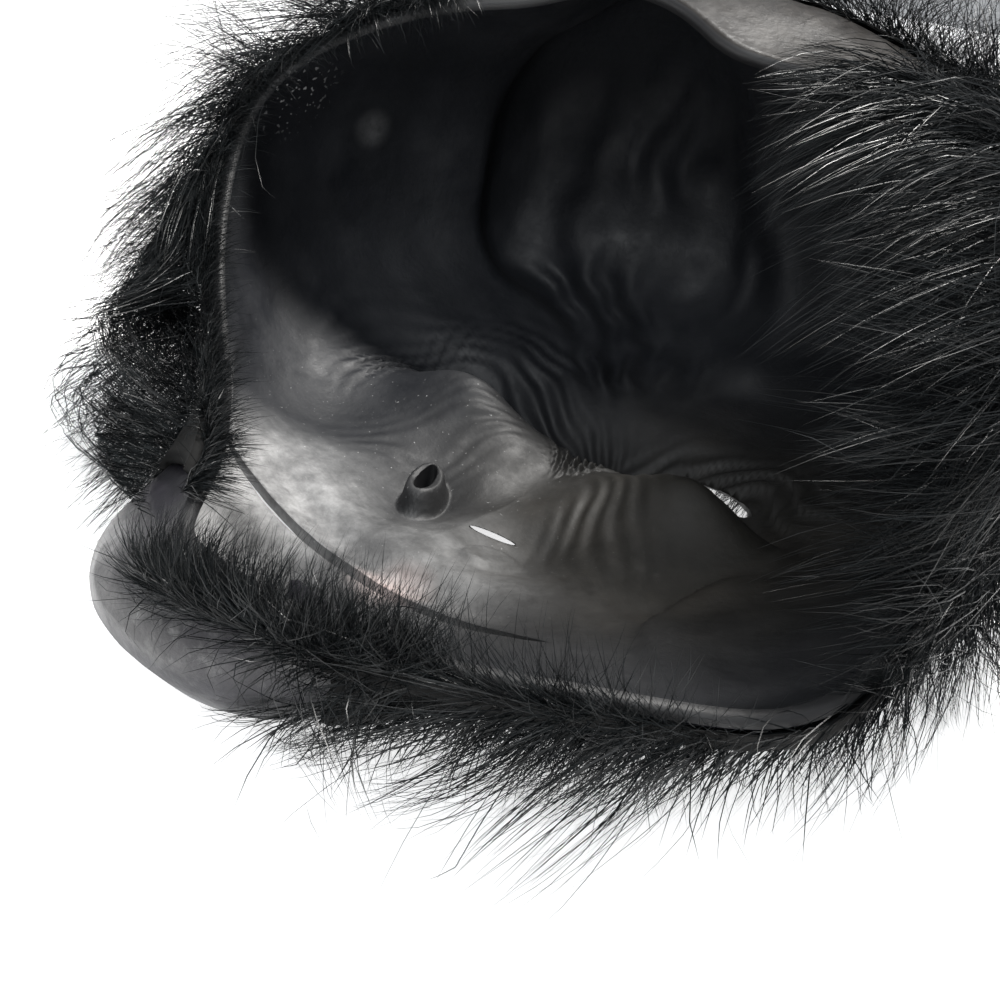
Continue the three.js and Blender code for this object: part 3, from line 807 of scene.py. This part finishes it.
# a place in the coat at a height over the skin's outside, and the way out from it
def coat_foot(phi, t, height):
    smooth = smooth_form(phi, t)
    carved = inner(phi, t)
    farther = np.linalg.norm(carved - CENTRE, axis=-1) > np.linalg.norm(smooth - CENTRE, axis=-1)
    n = normal(phi, t, smooth_form)
    return np.where(farther[..., None], carved, smooth) + n * (WALL + height), n


def fur_backing():
    columns, rows = BACKING.columns, BACKING.rows
    span = COAT_SPAN - BACKING.short_near - BACKING.short_far
    heading = COAT_FROM + BACKING.short_near + span * np.arange(columns) / (columns - 1)
    start = coat_start(heading)
    t = start[None] + (coat_end(heading) - start)[None] * (np.arange(rows) / (rows - 1))[:, None]
    phi = np.broadcast_to(wrap(heading)[None], t.shape)
    under, _ = coat_foot(phi, t, BACKING.low)
    over, _ = coat_foot(phi, t, BACKING.high)
    from_edge = np.minimum(np.arange(rows), np.arange(rows)[::-1])[:, None]
    full = np.clip(from_edge / 2, 0, 1)[..., None]
    over = under + (over - under) * (BACKING.thin + (1 - BACKING.thin) * full)
    points = np.concatenate([under.reshape(-1, 3), over.reshape(-1, 3)])
    points[:, 2] = np.maximum(points[:, 2], FLOOR + BACKING_ABOVE)
    count = columns * rows
    quads = [grid_faces(columns, rows, 0, False, False), grid_faces(columns, rows, count, False, True)]
    for row in (0, rows - 1):
        i = np.arange(columns - 1) + row * columns
        quads.append(np.stack([i, i + 1, i + 1 + count, i + count], -1))
    for column in (0, columns - 1):
        i = np.arange(rows - 1) * columns + column
        quads.append(np.stack([i, i + columns, i + columns + count, i + count], -1))
    backing = make_mesh("fur_backing", to_m(points), halves(np.concatenate(quads)))
    backing.data.materials.append(fur_material("fur_skin", FABRIC_DARK, FABRIC_LIGHT, 0.9))
    return backing


# seeded places on the coat, spread over its area, closer on the far side and beside the
# chin: phi, t, and how far along from the coat's start to its end
def sample_roots(count):
    turns, rows = 300, 60
    heading = COAT_FROM + COAT_SPAN * (np.arange(turns) + 0.5) / turns
    start, end = coat_start(heading), coat_end(heading)
    along = (np.arange(rows) + 0.5) / rows
    t = start[:, None] + (end - start)[:, None] * along[None]
    phi = np.broadcast_to(wrap(heading)[:, None], t.shape)
    form = smooth_form(phi, t)
    area = np.linalg.norm(np.cross(np.gradient(form, axis=0), np.gradient(form, axis=1)), axis=-1)
    share = (area * (1 + 1.3 * facing(phi, 178, 46) + 0.5 * bell(phi + 55, 26))).ravel()
    pick = rng.choice(share.size, count, p=share / share.sum())
    turn, row = pick // rows, pick % rows
    # the last two draws are spare, and keep the later ones in their places
    across, up, _, _ = rng.random((4, count))
    phi = COAT_FROM + COAT_SPAN * (turn + across) / turns
    start, end = coat_start(phi), coat_end(phi)
    along = (row + up) / rows
    return wrap(phi), start + (end - start) * along, along


# the way at a heading, between the ways given for some headings
def way_at(phi, headings, ways):
    return np.stack([np.interp(phi, headings, ways[:, i]) for i in range(3)], -1)


def random_ways(count):
    return rng.normal(size=(count, 3))


# the way towards the opening edge
def along_form(phi, t):
    return unit(smooth_form(phi, t + 0.01) - smooth_form(phi, t - 0.01))


# which way hair lies at a root
def comb_at(phi, n):
    flow = way_at(phi, FLOW_PHI, FLOW)
    return unit(flow - n * ((flow * n).sum(-1) * 0.8)[:, None])


# paths that go on from their roots in equal steps, each step's way bent from the last one's
def follow(root, way, length, steps, bend):
    path = [root]
    for i in range(steps):
        way = unit(bend(way, i))
        path.append(path[-1] + way * (length / steps)[:, None])
    return np.stack(path, 1)


# hair that leaves its root by lift and sinks by droop
def grow(root, n, comb, length, lift, droop, wobble, steps=LONG_STEPS):
    down = np.array([0, 0, -1.0])
    return follow(root, unit(n * lift[:, None] + comb), length, steps, lambda way, i:
                  way + down * (droop * ((i + 1) / steps))[:, None] + wobble * 0.35)


# bend each strand of a set towards the lock it belongs to
def gather(own, root, lock_path, lock_root, pull, spread):
    count = own.shape[1]
    along = (np.arange(count) / (count - 1)) ** 0.9
    goal = lock_path + (root - lock_root)[:, None] * (1 - spread * along)[None, :, None]
    weight = (pull[:, None] * along[None])[..., None]
    return own * (1 - weight) + goal * weight


def curled(path, axis, size):
    count = path.shape[1]
    turns = rng.uniform(0.6, 1.3, (len(path), 1))
    phase = rng.uniform(0, 2 * math.pi, (len(path), 1)) + np.arange(count)[None] * turns
    return path + axis[:, None] * (size * np.sin(phase) * (np.arange(count) / (count - 1))[None])[..., None]


# number of the nearest centre for each point, worked out in batches
def nearest(points, centres):
    batch = 4000
    out = np.empty(len(points), int)
    for a in range(0, len(points), batch):
        away = ((points[a:a + batch, None] - centres[None]) ** 2).sum(-1)
        out[a:a + batch] = away.argmin(1)
    return out


def reach(phi):
    return REACH.full - REACH.less * facing(phi, REACH.phi, REACH.half_phi)


# hold hair back from the opening, and lift it off the skin and the floor
def keep_out(paths, clearance, limit):
    q = paths - CENTRE
    form = boxy_sum(q) ** (1 / BOXINESS)
    radius = np.linalg.norm(q, axis=-1)
    phi, down = angles(q)
    edge = rim_angle(phi)
    limit = limit[:, None]
    over = down - edge
    bent = np.where(over > 0, limit * np.tanh(over / limit), over)
    q = np.where((over > 0)[..., None], direction(phi, edge + bent) * radius[..., None], q)
    need = 1 + (WALL + clearance) / np.maximum(radius / form, 1)
    stretch = np.where((over < 1) & (form < need), need / np.maximum(form, 0.05), 1)
    out = CENTRE + q * np.minimum(stretch, 1.6)[..., None]
    out[..., 2] = np.maximum(out[..., 2], FLOOR + PATHS_ABOVE)
    return out


LATEX_TREE = BVHTree.FromPolygons([v.co[:] for v in mask.data.vertices],
                                  [q.vertices[:] for q in mask.data.polygons])
LOW_BOX = np.array(CAD_BOX[0]) * 1000 + MIDDLE - PROUD
HIGH_BOX = np.array(CAD_BOX[1]) * 1000 + MIDDLE + PROUD


# a strand ends this part of the way along the step that meets the latex, or this many steps
# before its first point outside the box; less than the least part of one is left out
TO_LATEX = 0.8
BEFORE_BOX = 0.6
LEAST_PART = 0.28


# cut each strand where it would pass through the latex or leave the object's box
def trim(path):
    count, points = path.shape[:2]
    outside = ((path < LOW_BOX) | (path > HIGH_BOX)).any(-1)
    first = np.where(outside.any(1), outside.argmax(1), points - 1)
    end = np.minimum(1.0, np.where(outside.any(1), (first - BEFORE_BOX) / (points - 1), 1.0))
    metres = to_m(path)
    steps = np.diff(metres, axis=1)
    length = np.linalg.norm(steps, axis=-1)
    aim = steps / np.maximum(length, 1e-9)[..., None]
    starts, aims, lengths = metres.tolist(), aim.tolist(), length.tolist()
    for i in range(count):
        for j in range(points - 1):
            distance = LATEX_TREE.ray_cast(starts[i][j], aims[i][j], lengths[i][j])[3]
            if distance is not None:
                hit = j + TO_LATEX * distance / max(lengths[i][j], 1e-9)
                end[i] = min(end[i], hit / (points - 1))
                break
    place = np.clip(end, 0, 1)[:, None] * np.arange(points)[None]
    low = np.minimum(place.astype(int), points - 2)
    part = (place - low)[..., None]
    rows = np.arange(count)[:, None]
    return (path[rows, low] * (1 - part) + path[rows, low + 1] * part)[end > LEAST_PART]


# the hair's length at a heading, less where the coat starts
def hair_length(phi, along):
    length = HAIR_LENGTH
    for more, heading, width in LENGTH_CHANGES:
        length = length + more * facing(phi, heading, width)
    return length * (0.6 + 0.4 * step(along, 0.0, 0.25))


def big_tufts():
    phi, t, along = sample_roots(TUFT.count)
    root, n = coat_foot(phi, t, TUFT.root)
    swirl = random_ways(TUFT.count) * TUFT.swirl
    length = hair_length(phi, along) * rng.normal(1, TUFT.uneven, TUFT.count)
    low_side = facing(phi, -50, 36)
    lift = rng.uniform(*TUFT.lift, TUFT.count) * (1 - 0.4 * low_side) + 0.25 * facing(phi, 160, 40)
    droop = rng.uniform(*TUFT.droop, TUFT.count) * (1 - 0.6 * low_side)
    path = grow(root, n, unit(comb_at(phi, n) + swirl * TUFT.sway), length, lift, droop, swirl)
    return Named(root=root, path=path, length=length, lift=lift, droop=droop, swirl=swirl)


# locks, each gathered into the nearest tuft
def tuft_locks(tufts):
    phi, t, _ = sample_roots(LOCK.count)
    root, n = coat_foot(phi, t, LOCK.root)
    tuft = nearest(root, tufts.root)
    swirl = tufts.swirl[tuft] * LOCK.keep_swirl + random_ways(LOCK.count) * LOCK.swirl
    length = tufts.length[tuft] * rng.uniform(*LOCK.length, LOCK.count)
    lift = tufts.lift[tuft] * rng.uniform(*LOCK.lift, LOCK.count)
    droop = tufts.droop[tuft]
    path = grow(root, n, unit(comb_at(phi, n) + swirl * LOCK.sway), length, lift, droop, swirl)
    pull = rng.uniform(*LOCK.pull, LOCK.count)
    path = gather(path, root, tufts.path[tuft], tufts.root[tuft], pull, LOCK.spread)
    return Named(root=root, path=path, length=length, lift=lift, droop=droop, swirl=swirl)


# long strands gathered into the locks, and strays
def long_hair(locks):
    phi, t, _ = sample_roots(TOP.count)
    root, n = coat_foot(phi, t, TOP.root)
    comb = comb_at(phi, n)
    lock = nearest(root, locks.root)
    jitter = random_ways(TOP.count) * TOP.jitter
    stray = rng.random(TOP.count) < STRAY.part
    length = locks.length[lock] * rng.uniform(*TOP.length, TOP.count) * np.where(stray, STRAY.length, 1.0)
    lift = locks.lift[lock] * rng.uniform(*TOP.lift, TOP.count)
    swirl = locks.swirl[lock]
    way = unit(comb + swirl * TOP.sway + jitter)
    own = grow(root, n, way, length, lift, locks.droop[lock], swirl * TOP.wobble + jitter)
    pull = np.where(stray, STRAY.pull, rng.uniform(*TOP.pull, TOP.count))
    path = gather(own, root, locks.path[lock], locks.root[lock], pull, TOP.spread)
    path = curled(path, unit(np.cross(n, comb)), TOP.curl)
    return trim(keep_out(path, TOP.clear, reach(phi) * rng.uniform(*TOP.reach, TOP.count)))


# short dense hair under the long strands
def under_hair(locks):
    phi, t, _ = sample_roots(UNDER.count)
    root, n = coat_foot(phi, t, UNDER.root)
    lock = nearest(root, locks.root)
    jitter = random_ways(UNDER.count) * UNDER.jitter
    comb = unit(comb_at(phi, n) + locks.swirl[lock] * UNDER.sway + jitter)
    length = rng.uniform(*UNDER.length, UNDER.count)
    lift = rng.uniform(*UNDER.lift, UNDER.count)
    droop = np.full(UNDER.count, UNDER.droop)
    wobble = random_ways(UNDER.count) * UNDER.wobble
    path = grow(root, n, comb, length, lift, droop, wobble, SHORT_STEPS)
    return trim(keep_out(path, UNDER.clear, reach(phi) * rng.uniform(*UNDER.reach, UNDER.count)))


def chin_side(phi):
    return plateau(wrap(phi + 65), 24)


def far_side(phi):
    return plateau(wrap(phi + 175), 45)


# headings of fringe hair: all along the whole rim, denser at the chin and the far side, and
# sparse where the photo shows the rim
def fringe_headings():
    tries = FRINGE.count * 3
    phi = wrap(COAT_FROM - FRINGE.before + (COAT_SPAN + FRINGE.before) * rng.random(tries))
    sparse = RIM_SHOWN.part * facing(phi, RIM_SHOWN.phi, RIM_SHOWN.half_phi)
    keep = (coat_end(phi) > FRINGE_PART.whole_rim) & (rng.random(tries) > sparse)
    part = FRINGE_PART.all + FRINGE_PART.chin * chin_side(phi) + FRINGE_PART.far * far_side(phi)
    keep &= rng.random(tries) < part
    return phi[keep][:FRINGE.count]


# hair that stands up along the opening edge and leans over it
def fringe_hair(locks):
    phi = fringe_headings()
    count = len(phi)
    chin, far = chin_side(phi), far_side(phi)
    t = coat_end(phi) * (1 - FRINGE.band * rng.random(count))
    root, n = coat_foot(phi, t, FRINGE.root)
    length = FRINGE.length + FRINGE.chin_length * chin + far
    length = length * rng.uniform(*FRINGE.uneven, count) * FRINGE.stretch
    lean = rng.uniform(*FRINGE.lean, count) + FRINGE.far_lean * far
    lock = locks.swirl[nearest(root, locks.root)]
    jitter = random_ways(count)
    turn = random_ways(count)
    across = chin[:, None] * np.array([-0.7, 0.0, 0.35])
    flow = way_at(phi, FLOW_PHI, FLOW)
    way = unit(along_form(phi, t) + 0.05 * n + 0.1 * flow + across + 0.6 * lock + 0.4 * jitter)
    return trim(follow(root, way, length, FRINGE_STEPS, lambda way, i:
                       way - n * (lean * (i + 1) / FRINGE_STEPS)[:, None] + 0.28 * turn + 0.2 * lock))


# hair that rises from the opening edge and turns to hang over it
def mane_strands(phi, t, swirl, jitter, size):
    root, n = coat_foot(phi, t, MANE.root)
    hang = way_at(phi, MANE_PHI, MANE_WAY)
    way = unit(0.35 * n + 0.7 * along_form(phi, t) + 0.3 * hang + 0.25 * swirl + 0.2 * jitter)
    length = np.interp(phi, MANE_PHI, MANE_LENGTH) * size
    path = follow(root, way, length, LONG_STEPS, lambda way, i:
                  way + (0.4 + 0.12 * i) * hang + 0.15 * swirl + 0.10 * jitter)
    return root, hang, path


# the mane: locks of its own, strands gathered into them, and a few loose ones
def mane_hair():
    count = MANE.locks
    lock_phi = rng.uniform(MANE_PHI[0], MANE_PHI[-1], count)
    lock_swirl = random_ways(count)
    lock_t = 1 - MANE.lock_band * rng.random(count)
    lock_size = rng.uniform(*MANE.lock_size, count)
    lock_root, _, lock_path = mane_strands(lock_phi, lock_t, lock_swirl, np.zeros((count, 3)), lock_size)
    count = MANE.count
    phi = rng.uniform(MANE_PHI[0], MANE_PHI[-1], count)
    t = 1 - MANE.band * rng.random(count)
    jitter = random_ways(count)
    size = rng.uniform(*MANE.size, count)
    root, hang, own = mane_strands(phi, t, np.zeros((count, 3)), jitter, size)
    lock = nearest(root, lock_root)
    loose = rng.random(count) < LOOSE.part
    pull = np.where(loose, LOOSE.pull, rng.uniform(*MANE.pull, count))
    path = gather(own, root, lock_path[lock], lock_root[lock], pull, MANE.spread)
    return trim(curled(path, unit(np.cross(hang, jitter)), MANE.curl))


# flat tapered strands along the paths, each turned its own way
def strand_mesh(name, path, width, material):
    count, steps = len(path), path.shape[1] - 1
    along = unit(np.gradient(path, axis=1))
    side = unit(np.cross(along, unit(random_ways(count))[:, None]))
    half = side * (width[:, None] * np.array(TAPER[steps])[None])[..., None] * 0.5
    pairs = np.stack([(path - half)[:, :-1], (path + half)[:, :-1]], 2).reshape(count, -1, 3)
    points = np.concatenate([pairs, path[:, -1:]], 1)
    points[..., 2] = np.clip(points[..., 2], FLOOR + STRANDS_ABOVE, HIGH_BOX[2] + OVER_BOX)
    faces = []
    for i in range(steps - 1):
        faces += [(2 * i, 2 * i + 1, 2 * i + 3), (2 * i, 2 * i + 3, 2 * i + 2)]
    faces.append((2 * steps - 2, 2 * steps - 1, 2 * steps))
    first = np.arange(count) * points.shape[1]
    faces = (np.array(faces)[None] + first[:, None, None]).reshape(-1, 3)
    strands = make_mesh(name, to_m(points.reshape(-1, 3)), faces)
    strands.data.materials.append(material)
    return strands


coat = [fur_backing()]
locks = tuft_locks(big_tufts())
# each kind of hair: name, paths, thinnest and widest strand, number of pieces
HAIR = [("fur_long", long_hair(locks), 0.11, 0.23, 3),
        ("fur_under", under_hair(locks), 0.18, 0.32, 1),
        ("fur_fringe", fringe_hair(locks), 0.10, 0.20, 1),
        ("fur_mane", mane_hair(), 0.11, 0.23, 1)]
fur_black = fur_material("fur_black", HAIR_DARK, HAIR_LIGHT, 0.34)
for name, paths, thin, wide, pieces in HAIR:
    order = rng.permutation(len(paths))
    width = rng.uniform(thin, wide, len(paths)) * THICK
    for i in range(pieces):
        chosen = order[i::pieces]
        coat.append(strand_mesh(f"{name}_{i}", paths[chosen], width[chosen], fur_black))
for piece in coat:
    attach(piece, "root")
    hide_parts("fur_coat")


# pale surface under the mask, which gives off a little light, as overexposed as the photo's
def surface():
    material, _, shader = node_material("surface")
    set_inputs(shader, {"Base Color": (0.93, 0.93, 0.93, 1), "Roughness": 0.8,
                        "Emission Color": (1, 1, 1, 1), "Emission Strength": 0.75})
    bpy.ops.mesh.primitive_plane_add(size=6, location=(0, 0, 0))
    floor = bpy.context.object
    floor.data.materials.append(material)


def soft_world():
    world = bpy.data.worlds.new("soft")
    bpy.context.scene.world = world
    world.use_nodes = True
    background = world.node_tree.nodes["Background"]
    set_inputs(background, {"Color": (0.93, 0.96, 1.0, 1), "Strength": 0.45})


# round area light, placed and aimed in the frame's metres
def round_light(name, place, aim, size, power, colour):
    light = bpy.data.lights.new(name, "AREA")
    light.shape = "DISK"
    light.size = size
    light.energy = power
    light.color = colour
    lamp = add_object(name, light)
    lamp.location = place
    lamp.rotation_euler = (Vector(aim) - Vector(place)).to_track_quat("-Z", "Y").to_euler()


# camera fitted to the photo: its place, and the ways its right side, top and back point
CAMERA_PLACE = np.array([142.2, -173.3, 127.5])
CAMERA_RIGHT = (0.7409, 0.6585, 0.1275)
CAMERA_UP = (-0.4057, 0.2881, 0.8667)
CAMERA_BACK = (0.5354, -0.6938, 0.4803)


def photo_camera():
    lens = bpy.data.cameras.new("photo")
    lens.sensor_fit = "HORIZONTAL"
    lens.sensor_width = 36
    lens.lens = 38.88
    lens.clip_start = 0.01
    camera = add_object("photo", lens)
    turned = Matrix((CAMERA_RIGHT, CAMERA_UP, CAMERA_BACK)).transposed()
    place = Vector(to_m(CAMERA_PLACE).tolist())
    camera.matrix_world = Matrix.Translation(place) @ turned.to_4x4()
    bpy.context.scene.camera = camera


surface()
soft_world()
round_light("key", (0.13, 0.36, 1.12), (-0.03, -0.07, 0.02), 0.22, 31, (1.0, 0.98, 0.95))
round_light("top", (0.3, -0.9, 0.9), (0, 0, 0.05), 0.7, 8, (0.95, 0.98, 1.0))
photo_camera()
bpy.context.scene.view_settings.view_transform = "Standard"
